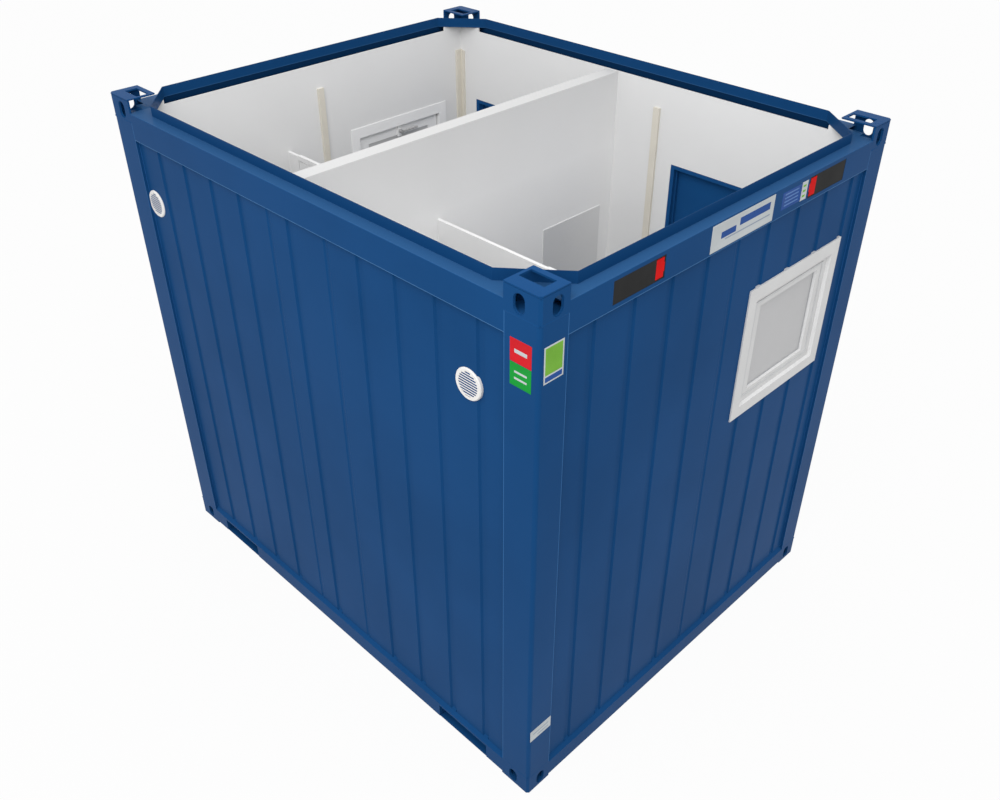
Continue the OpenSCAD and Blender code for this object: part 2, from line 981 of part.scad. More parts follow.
module toilet_pans() {
  color("#E6E6E4")
    wc_both() {
      difference() {
        round_ended([[0, 0], [112, 0], [106, 40], [102, 100], [108, 160], [126, bowl_h - 180],
          [152, bowl_h - 120], [br - 10, bowl_h - 60], [br - 2, bowl_h - 25], [br, bowl_h - 12],
          [br - 3, bowl_h - 3], [br - 10, bowl_h], [0, bowl_h]], 0, 420);
        round_ended([[0, bowl_h - 200], [52, bowl_h - 196], [74, bowl_h - 178], [98, bowl_h - 140],
          [118, bowl_h - 90], [br - 50, bowl_h - 40], [br - 42, bowl_h - 8], [br - 38, bowl_h + 1],
          [0, bowl_h + 1]], 330, 420);
        round_ended([[0, -1], [98, -1], [92, 40], [88, 100], [94, 160], [111, bowl_h - 180],
          [136, bowl_h - 120], [154, bowl_h - 70], [146, bowl_h - 66], [131, bowl_h - 100],
          [109, bowl_h - 148], [84, bowl_h - 186], [58, bowl_h - 210], [0, bowl_h - 214]], 24, 420);
        b([24, -86, -1], [312, 86, bowl_h - 24]);
      }
      for (s = [-1, 1])
        b([seat_x - 8, s * 66 - 6, bowl_h - 4], [seat_x + 8, s * 66 + 6, bowl_h + 24]);
      cy([seat_x, -105, bowl_h + 16], 4, 210);
    }
}

module toilet_seat() {
  color("#DEDEDC") {
    difference() {
      round_ended([[0, bowl_h + 3], [br, bowl_h + 3], [br + 2, bowl_h + 7], [br + 2, bowl_h + 13],
        [br - 4, bowl_h + 19], [br - 14, bowl_h + 21], [0, bowl_h + 21]], 235, 420);
      round_ended([[0, bowl_h + 2], [br - 56, bowl_h + 2], [br - 56, bowl_h + 13], [br - 50, bowl_h + 19],
        [br - 42, bowl_h + 22], [0, bowl_h + 22]], 345, 420);
    }
    for (s = [-1, 1])
      difference() {
        union() {
          cy([seat_x, s * 80 - 6, bowl_h + 16], 8, 12);
          b([seat_x, s * 80 - 6, bowl_h + 11], [240, s * 80 + 6, bowl_h + 21]);
        }
        cy([seat_x, s * 80 - 7, bowl_h + 16], 4 + pin, 14);
      }
  }
}

module toilet_lid() {
  color("#E2E2E0")
    translate([seat_x, 0, bowl_h + 16])
      rotate([0, -93, 0]) {
        round_ended([[0, 8], [br, 8], [br + 2, 10], [br + 2, 13], [br - 4, 17], [br - 40, 20], [0, 21]],
          24, 205);
        for (s = [-1, 1])
          difference() {
            union() {
              cy([0, s * 95 - 6, 0], 8, 12);
              b([0, s * 95 - 6, 6], [30, s * 95 + 6, 12]);
            }
            cy([0, s * 95 - 7, 0], 4 + pin, 14);
          }
      }
}

module cisterns() {
  color("#E6E6E4")
    wc_both()
      difference() {
        union() {
          b([0, -190, bowl_h], [140, 190, bowl_h + 345]);
          b([0, -172, bowl_h], [158, 172, bowl_h + 345]);
          b([0, -194, bowl_h + 345], [142, 194, bowl_h + 365]);
          b([0, -174, bowl_h + 345], [162, 174, bowl_h + 365]);
          for (s = [-1, 1]) {
            cz([140, s * 172, bowl_h], 18, 345);
            cz([142, s * 174, bowl_h + 345], 20, 20);
          }
        }
        b([12, -178, bowl_h + 12], [146, 178, bowl_h + 350]);
        cz([80, 0, bowl_h + 340], 20 + pin, 30);
      }
}

module flush_button() {
  color("#BFC2C5") {
    cz([80, 0, bowl_h + 344], 20, 24);
    cz([80, 0, bowl_h + 343.7], 26, 6);
  }
}

module toilet_seat_left() {
  wc_left()
    toilet_seat();
}

module toilet_seat_right() {
  wc_right()
    toilet_seat();
}

module toilet_lid_left() {
  wc_left()
    toilet_lid();
}

module toilet_lid_right() {
  wc_right()
    toilet_lid();
}

module flush_button_left() {
  wc_left()
    flush_button();
}

module flush_button_right() {
  wc_right()
    flush_button();
}

// wash basins, taps and mirrors on the partition
module basin_left() {
  translate([part_x, basin_y, floor_z])
    mirror([1, 0, 0])
      children();
}

module basin_right() {
  translate([part_x + part_t, basin_y, floor_z])
    children();
}

module basin(w, d) {
  r = d / 2 - 60;
  out = w / 2 - r - 35;
  translate([0, 0, basin_h])
    difference() {
      union() {
        b([0, -w / 2, -45], [d - 60, w / 2, 0]);
        b([0, 60 - w / 2, -45], [d, w / 2 - 60, 0]);
        for (s = [-1, 1])
          cz([d - 60, s * (w / 2 - 60), -45], 60, 45);
        translate([d / 2 + 30, 0, -150])
          trough(r * 0.55, r + 22, 110, out);
        b([0, -w / 4, -170], [d / 2, w / 4, -45]);
      }
      translate([d / 2 + 30, 0, -125])
        trough(r * 0.4, r, 126, out);
      cz([d / 2 + 30, 0, -220], 16, 120);
      cz([45, 0, -10], 10, 20);
    }
}

module wash_basins() {
  color("#E6E6E4") {
    basin_left()
      basin(basin_w, 400);
    basin_right()
      basin(basin_w - 100, 280);
  }
}

module tap(d) {
  translate([0, 0, basin_h]) {
    cz([45, 0, 0], 26, 6);
    cz([45, 0, 0], 21, 45);
    cz([45, 0, 45], 12, 6);
    cx([45, 0, 32], 10, d / 2 - 44);
    translate([d / 2 + 1, 0, 14])
      rotate([90, 0, 0])
        rotate_extrude(angle = 90)
          translate([18, 0])
            circle(10);
    cz([d / 2 + 19, 0, 4], 10, 10);
    cz([d / 2 + 30, 0, -270], 14, 150);
    cz([d / 2 + 30, 0, -270], 24, 70);
    cx([0, 0, -225], 14, d / 2 + 30);
    cx([0, 0, -225], 26, 5);
  }
}

module taps() {
  color("#C4C7CA") {
    basin_left()
      tap(400);
    basin_right()
      tap(280);
  }
}

module tap_lever() {
  color("#C4C7CA")
    difference() {
      union() {
        cz([45, 0, basin_h + 46], 21, 14);
        translate([45, 0, basin_h + 60])
          cylinder(r1 = 21, r2 = 15, h = 10);
        bar_x([45, 0, basin_h + 61], 7, 84);
      }
      cz([45, 0, basin_h + 45], 12 + pin, 6 + pin);
    }
}

module tap_lever_left() {
  basin_left()
    tap_lever();
}

module tap_lever_right() {
  basin_right()
    tap_lever();
}

module mirrors() {
  color("#A0A0A0") {
    for (x = [part_x - 5, part_x + part_t])
      b([x, basin_y - 250, floor_z + basin_h + 324],
        [x + 5, basin_y + 250, floor_z + basin_h + 324 + mirror_h]);
  }
}

// ventilators: flange, grille, sleeve and motor, with the rotor apart
function slot_end(k) = sqrt(pow(grille_d / 2 - 3, 2) - 144 * k * k) - 3;

module vent_place() {
  for (x = [vent_l, vent_r])
    translate([x, 0, vent_z])
      difference() {
        children();
        b([hx - post_x - x, hy - 40, -90], [200, hy, 90]);
      }
}

module grilles() {
  color("#D6D4D2")
    vent_place()
      difference() {
        union() {
          cy([0, hy - recess - groove_d, 0], flange_d / 2, groove_d + 3);
          translate([0, hy - recess + 3, 0])
            rotate([-90, 0, 0])
              cylinder(r1 = flange_d / 2, r2 = flange_d / 2 - 4, h = 4.5);
        }
        cy([0, hy - recess - groove_d - 1, 0], tube_r + 0.5, groove_d + 5);
        for (k = [-4.5 : 1 : 4.5])
          b([-slot_end(k), hy - 20, k * 12 - 3.5], [slot_end(k), hy, k * 12 + 3.5]);
      }
}

module vents() {
  color("#D6D4D2")
    for (x = [vent_l, vent_r])
      translate([x, 0, vent_z]) {
        difference() {
          union() {
            cy([0, room_y, 0], tube_r, wall_y - recess + 3);
            cy([0, room_y - 5, 0], tube_r + 16, 5);
          }
          cy([0, room_y - 6, 0], tube_r - 3, 120);
        }
        difference() {
          union() {
            cy([0, room_y + 10, 0], 19, 26);
            for (a = [90, 210, 330])
              rotate([0, a, 0])
                b([0, room_y + 10, -3], [tube_r - 2, room_y + 16, 3]);
          }
          cy([0, room_y + 9, 0], 3 + pin, 60);
        }
      }
}

module fan_rotor(x) {
  color("#3A3A3C")
    translate([x, room_y + 40, vent_z]) {
      cy([0, 0, 0], 18, 22);
      cy([0, -20, 0], 3, 22);
      for (a = [0 : 72 : 288])
        rotate([0, a, 0])
          translate([12, 11, 0])
            rotate([35, 0, 0])
              b([0, -1, -12], [35, 1, 12]);
    }
}

module fan_rotor_left() {
  fan_rotor(vent_l);
}

module fan_rotor_right() {
  fan_rotor(vent_r);
}

// power inlets in the roof rail at the left end, drawn for +Y
module inlet() {
  translate([-hx, inlet_y, inlet_z])
    color("#282828") {
      difference() {
        b([1, -inlet_w, -inlet_h], [52, inlet_w, inlet_h]);
        b([4, 3 - inlet_w, 3 - inlet_h], [49, inlet_w - 3, inlet_h - 3]);
        b([0, 3 - inlet_w, -45], [5, 58 - inlet_w, 45]);
      }
      difference() {
        b([9, 8 - inlet_w, -40], [50, 58 - inlet_w, 40]);
        cx([8, 33 - inlet_w, 0], 20, 32);
      }
      cx([14, 33 - inlet_w, 0], 12, 34);
      for (z = [-42, 20])
        translate([3.5, 6.5 - inlet_w, z]) {
          cz([0, 0, 0], 3, 22);
          b([-1.5, -4, 0], [1.5, 0, 22]);
        }
      cz([3.5, 6.5 - inlet_w, -42], 1.5, 84);
    }
}

module power_inlets() {
  both_y()
    inlet();
}

module inlet_lid() {
  color("#CE1A1C")
    translate([-hx + 3.5, inlet_y - inlet_w + 6.5, inlet_z])
      difference() {
        union() {
          b([-3, 4, -42], [0, 51, 42]);
          cz([0, 0, -19.5], 3, 39);
          b([-3, 0, -19.5], [0, 5, 19.5]);
        }
        cz([0, 0, -30], 1.5 + pin, 60);
      }
}

module inlet_lid_back() {
  inlet_lid();
}

module inlet_lid_front() {
  mirror([0, 1, 0])
    inlet_lid();
}

module heaters() {
  color("#DADADA")
    both_x()
      difference() {
        union() {
          b([room_x - 80, win_y - 300, floor_z + 163], [room_x - 12, win_y + 300, floor_z + 563]);
          for (s = [-1, 1])
            b([room_x - 12, win_y + s * 220 - 20, floor_z + 203],
              [room_x, win_y + s * 220 + 20, floor_z + 523]);
        }
        b([room_x - 78, win_y - 298, floor_z + 165], [room_x - 11, win_y - 242, floor_z + 561]);
        b([room_x - 78, win_y - 198, floor_z + 165], [room_x - 11, win_y + 198, floor_z + 561]);
        b([room_x - 78, win_y + 242, floor_z + 165], [room_x - 11, win_y + 298, floor_z + 561]);
        for (k = [-10 : 10])
          b([room_x - 70, win_y + k * 26 - 7, floor_z + 543],
            [room_x - 22, win_y + k * 26 + 7, floor_z + 564]);
      }
}

floor_frame();
floor_pan();
insulation();
floor_board();
floor_covering();
corner_posts();
castings_bottom();
castings_top();
roof_frame();
cladding_front();
cladding_back();
cladding_left();
cladding_right();
lining_front();
lining_back();
lining_ends();
partition();
cabin_walls();
joint_strips();
window_frame_left();
window_frame_right();
window_sash_left();
window_sash_right();
window_glass_left();
window_glass_right();
window_handle_left();
window_handle_right();
door_frame_left();
door_frame_right();
door_leaf_left();
door_leaf_right();
door_handle_left();
door_handle_right();
door_bolt_left();
door_bolt_right();
cabin_door_left();
cabin_door_right();
cabin_lock_left();
cabin_lock_right();
toilet_pans();
cisterns();
toilet_seat_left();
toilet_seat_right();
toilet_lid_left();
toilet_lid_right();
flush_button_left();
flush_button_right();
wash_basins();
taps();
tap_lever_left();
tap_lever_right();
mirrors();
grilles();
vents();
fan_rotor_left();
fan_rotor_right();
power_inlets();
inlet_lid_back();
inlet_lid_front();
heaters();
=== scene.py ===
"""Dresses the sanitary container: its finishes, small fitted pieces, plates, signs and the stage."""

import math

import bpy
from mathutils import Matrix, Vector


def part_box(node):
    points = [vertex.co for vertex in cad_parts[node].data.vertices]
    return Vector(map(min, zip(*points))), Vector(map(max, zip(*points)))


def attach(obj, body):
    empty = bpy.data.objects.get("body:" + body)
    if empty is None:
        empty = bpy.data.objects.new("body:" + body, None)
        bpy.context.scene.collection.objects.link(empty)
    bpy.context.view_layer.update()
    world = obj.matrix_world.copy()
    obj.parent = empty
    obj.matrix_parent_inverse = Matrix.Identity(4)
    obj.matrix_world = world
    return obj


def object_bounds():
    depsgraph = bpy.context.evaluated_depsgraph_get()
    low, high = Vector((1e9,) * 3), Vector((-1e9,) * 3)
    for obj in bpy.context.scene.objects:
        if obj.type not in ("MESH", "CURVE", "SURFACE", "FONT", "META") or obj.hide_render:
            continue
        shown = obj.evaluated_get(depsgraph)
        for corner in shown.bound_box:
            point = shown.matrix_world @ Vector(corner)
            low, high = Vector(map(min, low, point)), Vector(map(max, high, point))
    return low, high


bl_info = {
    "name": "Sanitary container",
    "version": (1, 0, 0),
    "blender": (4, 5, 0),
    "location": "View3D > Sidebar > Container",
    "description": "Finishes and fits out a ten-foot sanitary container",
    "category": "Object",
}

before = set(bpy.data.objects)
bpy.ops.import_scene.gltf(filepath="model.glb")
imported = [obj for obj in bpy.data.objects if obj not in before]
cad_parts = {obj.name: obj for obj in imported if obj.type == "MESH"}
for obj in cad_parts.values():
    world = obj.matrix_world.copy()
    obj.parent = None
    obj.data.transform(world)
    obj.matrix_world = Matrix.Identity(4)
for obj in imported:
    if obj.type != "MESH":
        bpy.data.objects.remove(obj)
cad_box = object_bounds()

# Sizes in metres. Distances in X and Y are from the container's middle, and Z is from the ground.

HALF_X = max(abs(v) for v in (cad_box[0][0], cad_box[1][0]))
HALF_Y = max(abs(v) for v in (cad_box[0][1], cad_box[1][1]))
ENDS = ((-1, "left"), (1, "right"))
SIDES = ((-1, "front"), (1, "back"))
CORNERS = tuple((sx, sy, ny + "_" + nx) for sx, nx in ENDS for sy, ny in SIDES)

# width of a corner post along X and along Y
POST_X, POST_Y = 0.175, 0.150
# where castings meet posts
CASTING_JOINTS = (("top", 2.692), ("bottom", 0.118))
# the roof rail's lower fold, and the band outside its lip
RAIL_EDGE = (2.6012, 2.6032)
OUTER_BAND = 0.03
# the shelf's top face with a margin on both sides, and the lip's top face less a margin
SHELF = (2.7385, 2.7415)
LIP_EDGE = 2.7905
# how far the wall sheets lie behind the frame, and where they end
SHEET_DEPTH = 0.0175
SHEET_TOP, SHEET_FOOT = 2.6005, 0.133
# the doors' sealing face
DOOR_SEAL = (-1.1652, -1.1642)

# all of a window nearer the room than this is bright inner trim
ROOM_SIDE_OF_WINDOW = 1.44
# the faces that turn into a window's opening, of the sash and of the frame
WINDOW_REVEALS = ((1.4466, 1.4628), (1.4634, 1.4838))
WINDOW_OPENING_Y, WINDOW_OPENING_Z = (0.243, 0.913), (1.602, 2.2135)

# middle of each grille from its flange's end: the left one is round, the right one ends at the post
FLANGE_LEFT, FLANGE_RIGHT = 0.0725, 0.0625
# thickness of the grille's plate, and radius of the slotted field and of the flap behind it
GRILLE_PLATE = 0.0035
GRILLE_REACH = 0.0535


def colour(hex_code):
    """Turns an sRGB hex colour into linear RGBA."""
    parts = [int(hex_code[i : i + 2], 16) / 255 for i in (1, 3, 5)]
    return [c / 12.92 if c <= 0.04045 else ((c + 0.055) / 1.055) ** 2.4 for c in parts] + [1.0]


def toned(base, factor):
    """A linear colour made lighter or darker."""
    return [c * factor for c in base[:3]] + [1.0]


# Shader nodes


def add(tree, kind, links=None, values=None, **settings):
    """Adds one node. Links and values go to its inputs, by name or number, and settings to the node."""
    made = tree.nodes.new(kind)
    for key, value in settings.items():
        setattr(made, key, value)
    for key, value in (values or {}).items():
        made.inputs[key].default_value = value
    for key, source in (links or {}).items():
        tree.links.new(source, made.inputs[key])
    return made


def start_material(name, **shader):
    """A material with one Principled shader and the object's own coordinates."""
    material = bpy.data.materials.new(name)
    material.use_nodes = True
    tree = material.node_tree
    tree.nodes.clear()
    values = {key.replace("_", " "): value for key, value in shader.items()}
    skin = add(tree, "ShaderNodeBsdfPrincipled", values=values)
    add(tree, "ShaderNodeOutputMaterial", {"Surface": skin.outputs[0]})
    where = add(tree, "ShaderNodeTexCoord")
    return material, tree, skin, where.outputs["Object"]


def nodes_of(material):
    """The node tree, the shader and the coordinates of a material that start_material began."""
    tree = material.node_tree
    skin = next(node for node in tree.nodes if node.type == "BSDF_PRINCIPLED")
    where = next(node for node in tree.nodes if node.type == "TEX_COORD")
    return tree, skin, where.outputs["Object"]


def two_tone(tree, skin, pattern, tones, stops=(0.0, 1.0)):
    """Base colour that runs between two tones as a pattern's output rises."""
    ramp = add(tree, "ShaderNodeValToRGB", {"Fac": pattern})
    for element, tone, stop in zip(ramp.color_ramp.elements, tones, stops):
        element.position = stop
        element.color = tone
    tree.links.new(ramp.outputs["Color"], skin.inputs["Base Color"])


def tinted(tree, where, skin, base, shade, size):
    """Base colour that drifts between two shades over patches of the given size in metres."""
    tones = [colour(c) if isinstance(c, str) else c for c in (base, shade)]
    cloud = add(tree, "ShaderNodeTexNoise", {"Vector": where}, {"Scale": 1 / size, "Detail": 3.0})
    two_tone(tree, skin, cloud.outputs["Fac"], tones, (0.35, 0.65))
    return cloud


def grain(tree, where, skin, size, height, strength):
    """Fine surface relief from noise of the given size in metres."""
    noise = add(tree, "ShaderNodeTexNoise", {"Vector": where}, {"Scale": 1 / size, "Detail": 2.0})
    values = {"Strength": strength, "Distance": height}
    bump = add(tree, "ShaderNodeBump", {"Height": noise.outputs["Fac"]}, values)
    tree.links.new(bump.outputs["Normal"], skin.inputs["Normal"])


def varied_gloss(tree, skin, source, low, high):
    """Roughness that follows a pattern between two values."""
    values = {"To Min": low, "To Max": high}
    spread = add(tree, "ShaderNodeMapRange", {"Value": source.outputs["Fac"]}, values)
    tree.links.new(spread.outputs["Result"], skin.inputs["Roughness"])


def cover(tree, skin, mask, shade, blend="MIX"):
    """Lays a colour over the film where the mask is one."""
    film = skin.inputs["Base Color"].links[0].from_socket
    links = {0: mask, 6: film}
    mixed = add(tree, "ShaderNodeMix", links, {7: shade}, data_type="RGBA", blend_type=blend)
    tree.links.new(mixed.outputs[2], skin.inputs["Base Color"])


def zone(tree, where, skin, tests, shade):
    """Gives another colour where every test holds: (axis, kind of test, metres from the middle)."""
    spot = add(tree, "ShaderNodeSeparateXYZ", {"Vector": where})
    inside = None
    for axis, kind, value in tests:
        distance = add(tree, "ShaderNodeMath", {0: spot.outputs[axis]}, operation="ABSOLUTE")
        held = add(tree, "ShaderNodeMath", {0: distance.outputs[0]}, {1: value}, operation=kind)
        if inside:
            links = {0: inside, 1: held.outputs[0]}
            held = add(tree, "ShaderNodeMath", links, operation="MULTIPLY")
        inside = held.outputs[0]
    cover(tree, skin, inside, shade)


def between(axis, low, high):
    """The two tests of a band along one axis."""
    return [(axis, "GREATER_THAN", low), (axis, "LESS_THAN", high)]


# Finishes


def paint(name, base, shade, rough=0.3, sheen=0.02, zones=()):
    """Sprayed enamel on steel: a satin film with faint orange peel and slightly uneven depth.

    zones are (tests, colour) pairs: painted highlights along edges, and faces painted lighter or
    darker, most of them as painted light and shade.
    """
    material, tree, skin, where = start_material(
        name, IOR=1.5, Roughness=rough, Specular_IOR_Level=sheen
    )
    cloud = tinted(tree, where, skin, base, shade, 0.55)
    # orange peel is about 2 mm apart, drawn at 7 mm so that it shows
    grain(tree, where, skin, 0.007, 0.00025, 0.25)
    varied_gloss(tree, skin, cloud, rough - 0.05, rough + 0.07)
    for tests, other in zones:
        zone(tree, where, skin, tests, other)
    return material


def coated_sheet(name, base, shade, rough=0.65, zones=(), painted_shading=None):
    """Coil-coated lining: an even matt film, with the shallow waves of thin sheet.

    zones are (tests, colour) pairs, used for faces of a sheet painted darker as painted shade.
    The (low, high, share) triple darkens the film from one height to the next, a painted shade.
    """
    material, tree, skin, where = start_material(
        name, IOR=1.48, Roughness=rough, Specular_IOR_Level=0.2
    )
    tinted(tree, where, skin, base, shade, 0.8)
    # painted shade: the film is darkened towards the top, between the two heights
    if painted_shading:
        low, high, share = painted_shading
        spot = add(tree, "ShaderNodeSeparateXYZ", {"Vector": where})
        values = {"From Min": low, "From Max": high}
        spread = add(tree, "ShaderNodeMapRange", {"Value": spot.outputs["Z"]}, values)
        cover(tree, skin, spread.outputs[0], (share, share, share, 1), "MULTIPLY")
    for tests, other in zones:
        zone(tree, where, skin, tests, other)
    # thin sheet waves about every 160 mm
    grain(tree, where, skin, 0.16, 0.0008, 0.3)
    return material


def moulded(name, base, shade, rough=0.35, size=0.02, sheen=0.5):
    """Injection-moulded plastic: fine spark-eroded grain under a soft sheen."""
    material, tree, skin, where = start_material(
        name, IOR=1.46, Roughness=rough, Specular_IOR_Level=sheen
    )
    tinted(tree, where, skin, base, shade, 0.12)
    # the real grain is under 0.1 mm, drawn at 0.6 to 3 mm so that it shows
    grain(tree, where, skin, size * 0.15, 0.0001, 0.2)
    return material


def slotted(name, base, shade, behind, centres):
    """Moulded grille whose slot sides take the colour of the wall behind, as its bars are thin."""
    material = moulded(name, base, shade, 0.4, 0.02, 0.2)
    tree, skin, where = nodes_of(material)
    spot = add(tree, "ShaderNodeSeparateXYZ", {"Vector": where})
    # just behind the plate's outer face
    depth = centres[0][1] - 0.0004
    deep = add(tree, "ShaderNodeMath", {0: spot.outputs["Y"]}, {1: depth}, operation="LESS_THAN")
    for centre in centres:
        away = add(tree, "ShaderNodeVectorMath", {0: where}, {1: centre}, operation="DISTANCE")
        links = {0: away.outputs["Value"]}
        close = add(tree, "ShaderNodeMath", links, {1: GRILLE_REACH}, operation="LESS_THAN")
        links = {0: close.outputs[0], 1: deep.outputs[0]}
        both = add(tree, "ShaderNodeMath", links, operation="MULTIPLY")
        cover(tree, skin, both.outputs[0], colour(behind))
    return material


def glazed(name):
    """Vitreous china: a thick clear glaze over a white body."""
    material, tree, skin, where = start_material(
        name, IOR=1.5, Roughness=0.12, Coat_Weight=0.6, Coat_Roughness=0.05
    )
    tinted(tree, where, skin, "#E4E4E1", "#DEDEDA", 0.25)
    # the glaze flows into waves about 50 mm wide
    grain(tree, where, skin, 0.05, 0.0004, 0.12)
    return material


def bright_metal(name, base, rough, stretch=(1, 1, 1)):
    """Chrome, zinc or brushed steel: a clear shine, with the brushing along the stretched way."""
    material, tree, skin, where = start_material(name, Metallic=1.0, Roughness=rough)
    skin.inputs["Base Color"].default_value = colour(base)
    # cloudy patches 17 mm wide, drawn out to lines 0.4 mm thick where the metal is brushed
    lines = add(tree, "ShaderNodeMapping", {"Vector": where}, {"Scale": stretch})
    links = {"Vector": lines.outputs["Vector"]}
    noise = add(tree, "ShaderNodeTexNoise", links, {"Scale": 60.0, "Detail": 3.0})
    varied_gloss(tree, skin, noise, rough * 0.8, rough * 1.25)
    return material


def frosted(name):
    """Satin insulating glass: acid-etched, so it glows evenly and shows no view."""
    material, tree, skin, where = start_material(
        name, IOR=1.5, Roughness=0.6, Transmission_Weight=0.1, Specular_IOR_Level=0.3
    )
    tinted(tree, where, skin, "#C6C6C7", "#C2C2C3", 0.4)
    # etching is finer than 0.1 mm, drawn at 4 mm so that it shows
    grain(tree, where, skin, 0.004, 0.0002, 0.3)
    return material


def silvered(name):
    """Mirror glass, kept pale and soft: its pale film is a painted reflection of the white room."""
    material, tree, skin, where = start_material(name, Metallic=0.15, Roughness=0.4)
    tinted(tree, where, skin, "#E3E3E3", "#DFDFDF", 0.5)
    return material


def foamed(name):
    """Rigid insulation: pale, dull cells."""
    material, tree, skin, where = start_material(name, Roughness=0.9)
    # real cells are under 1 mm, drawn at 8 mm so that they show
    cells = add(tree, "ShaderNodeTexVoronoi", {"Vector": where}, {"Scale": 120.0})
    two_tone(tree, skin, cells.outputs["Distance"], (colour("#D9CE98"), colour("#E8DFB4")))
    return material


def boarded(name):
    """Floor board: long grain, 12 mm wide streaks along X."""
    material, tree, skin, where = start_material(name, Roughness=0.6)
    lines = add(tree, "ShaderNodeMapping", {"Vector": where}, {"Scale": (0.8, 12.0, 12.0)})
    links = {"Vector": lines.outputs["Vector"]}
    noise = add(tree, "ShaderNodeTexNoise", links, {"Scale": 7.0, "Detail": 6.0})
    two_tone(tree, skin, noise.outputs["Fac"], (colour("#8A6A44"), colour("#B08F62")))
    return material


def chipped_vinyl(name):
    """Homogeneous vinyl: 6 mm chips of nearby greys pressed flat."""
    material, tree, skin, where = start_material(name, IOR=1.46, Roughness=0.45)
    chips = add(tree, "ShaderNodeTexVoronoi", {"Vector": where}, {"Scale": 160.0})
    two_tone(tree, skin, chips.outputs["Color"], (colour("#7E8488"), colour("#A2A7AB")))
    return material


# Modelling


def fresh():
    """Leaves edit mode and deselects everything."""
    if bpy.context.object and bpy.context.object.mode != "OBJECT":
        bpy.ops.object.mode_set(mode="OBJECT")
    bpy.ops.object.select_all(action="DESELECT")


def span(sign, a, b):
    """Two distances from the middle, on the side that the sign gives, lower one first."""
    return tuple(sorted((sign * a, sign * b)))


def block(name, xs, ys, zs):
    """Starts a piece as a box from its spans in metres, with its place in its mesh."""
    fresh()
    low, high = (Vector(corner) for corner in zip(xs, ys, zs))
    bpy.ops.mesh.primitive_cube_add(size=1, location=(low + high) / 2)
    piece = bpy.context.object
    piece.name = name
    piece.data.name = name
    piece.scale = high - low
    bpy.ops.object.transform_apply(location=True, rotation=True, scale=True)
    return piece


def choose(piece, test):
    """Goes to edit mode with only the faces selected for which the test holds."""
    bpy.ops.object.mode_set(mode="EDIT")
    bpy.ops.mesh.select_mode(type="FACE")
    bpy.ops.mesh.select_all(action="DESELECT")
    bpy.ops.object.mode_set(mode="OBJECT")
    for face in piece.data.polygons:
        face.select = test(face)
    bpy.ops.object.mode_set(mode="EDIT")


def facing(axis, sign):
    """A test for the faces that look one way along an axis."""
    return lambda face: face.normal[axis] * sign > 0.9


def soften(piece, width, segments=2):
    """Rounds every edge of the piece."""
    bpy.ops.object.mode_set(mode="OBJECT")
    rounding = piece.modifiers.new("rounding", "BEVEL")
    rounding.width = width
    rounding.segments = segments
    rounding.limit_method = "ANGLE"
    rounding.angle_limit = math.radians(40)
    bpy.ops.object.modifier_apply(modifier="rounding")


def settle(piece, material, body):
    """Gives a finished piece its normals, finish, body and material slot."""
    bpy.ops.object.mode_set(mode="EDIT")
    bpy.ops.mesh.select_all(action="SELECT")
    bpy.ops.mesh.remove_doubles(threshold=0.00002)
    bpy.ops.mesh.normals_make_consistent(inside=False)
    bpy.ops.object.mode_set(mode="OBJECT")
    bpy.ops.object.shade_smooth_by_angle(angle=math.radians(35))
    piece.data.materials.clear()
    piece.data.materials.append(material)
    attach(piece, body)


def plate(name, spans, axis, sign, material, rim, sunk):
    """A thin plate with a slightly raised rim round its outward face."""
    piece = block(name, *spans)
    choose(piece, facing(axis, sign))
    bpy.ops.mesh.inset(thickness=rim, depth=0)
    bpy.ops.mesh.inset(thickness=0.0008, depth=-sunk)
    soften(piece, 0.0001)
    settle(piece, material, "container")


def ring(name, spans, axis, width, material, body, rounded):
    """A seal round an opening: a flat block whose middle is taken out through both faces."""
    piece = block(name, *spans)
    choose(piece, lambda face: abs(face.normal[axis]) > 0.9)
    bpy.ops.mesh.inset(thickness=width, depth=0)
    bpy.ops.mesh.bridge_edge_loops()
    soften(piece, rounded)
    settle(piece, material, body)


def dress(material, *nodes):
    """Gives CAD nodes their finish, in every material slot."""
    for node in nodes:
        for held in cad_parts[node].material_slots:
            held.material = material


def both_sides(*stems):
    """Node names with left and right after each stem."""
    return [stem + "_" + side for stem in stems for _, side in ENDS]


def vent_centres():
    """The middle of each ventilation grille's outer face, left and right."""
    low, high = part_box("grilles")
    height = (low[2] + high[2]) / 2
    return (low[0] + FLANGE_LEFT, high[1], height), (high[0] - FLANGE_RIGHT, high[1], height)


class FinishSettings(bpy.types.PropertyGroup):
    """Colours of the main finishes."""

    paint: bpy.props.FloatVectorProperty(
        name="Paint", description="Outer paint", subtype="COLOR", size=3, default=colour("#154475")[:3]
    )
    lining: bpy.props.FloatVectorProperty(
        name="Lining", description="Wall lining", subtype="COLOR", size=3, default=colour("#E6E6E6")[:3]
    )


class PlateSettings(bpy.types.PropertyGroup):
    """Sizes of the plates and signs."""

    thickness: bpy.props.FloatProperty(
        name="Thickness", description="Thickness of plates and signs", default=0.0004, unit="LENGTH"
    )
    rim: bpy.props.FloatProperty(
        name="Rim", description="Width of the rim round a plate", default=0.006, unit="LENGTH"
    )


class StageSettings(bpy.types.PropertyGroup):
    """Camera and light."""

    lens: bpy.props.FloatProperty(
        name="Lens",
        description="Focal length on a 36 mm sensor",
        default=35.766,
        subtype="DISTANCE_CAMERA",
    )
    sky: bpy.props.FloatProperty(
        name="Sky", description="Strength of the even light", default=0.98, min=0
    )
    key: bpy.props.FloatProperty(
        name="Key", description="Power of the large lamp", default=280.0, min=0, subtype="POWER"
    )


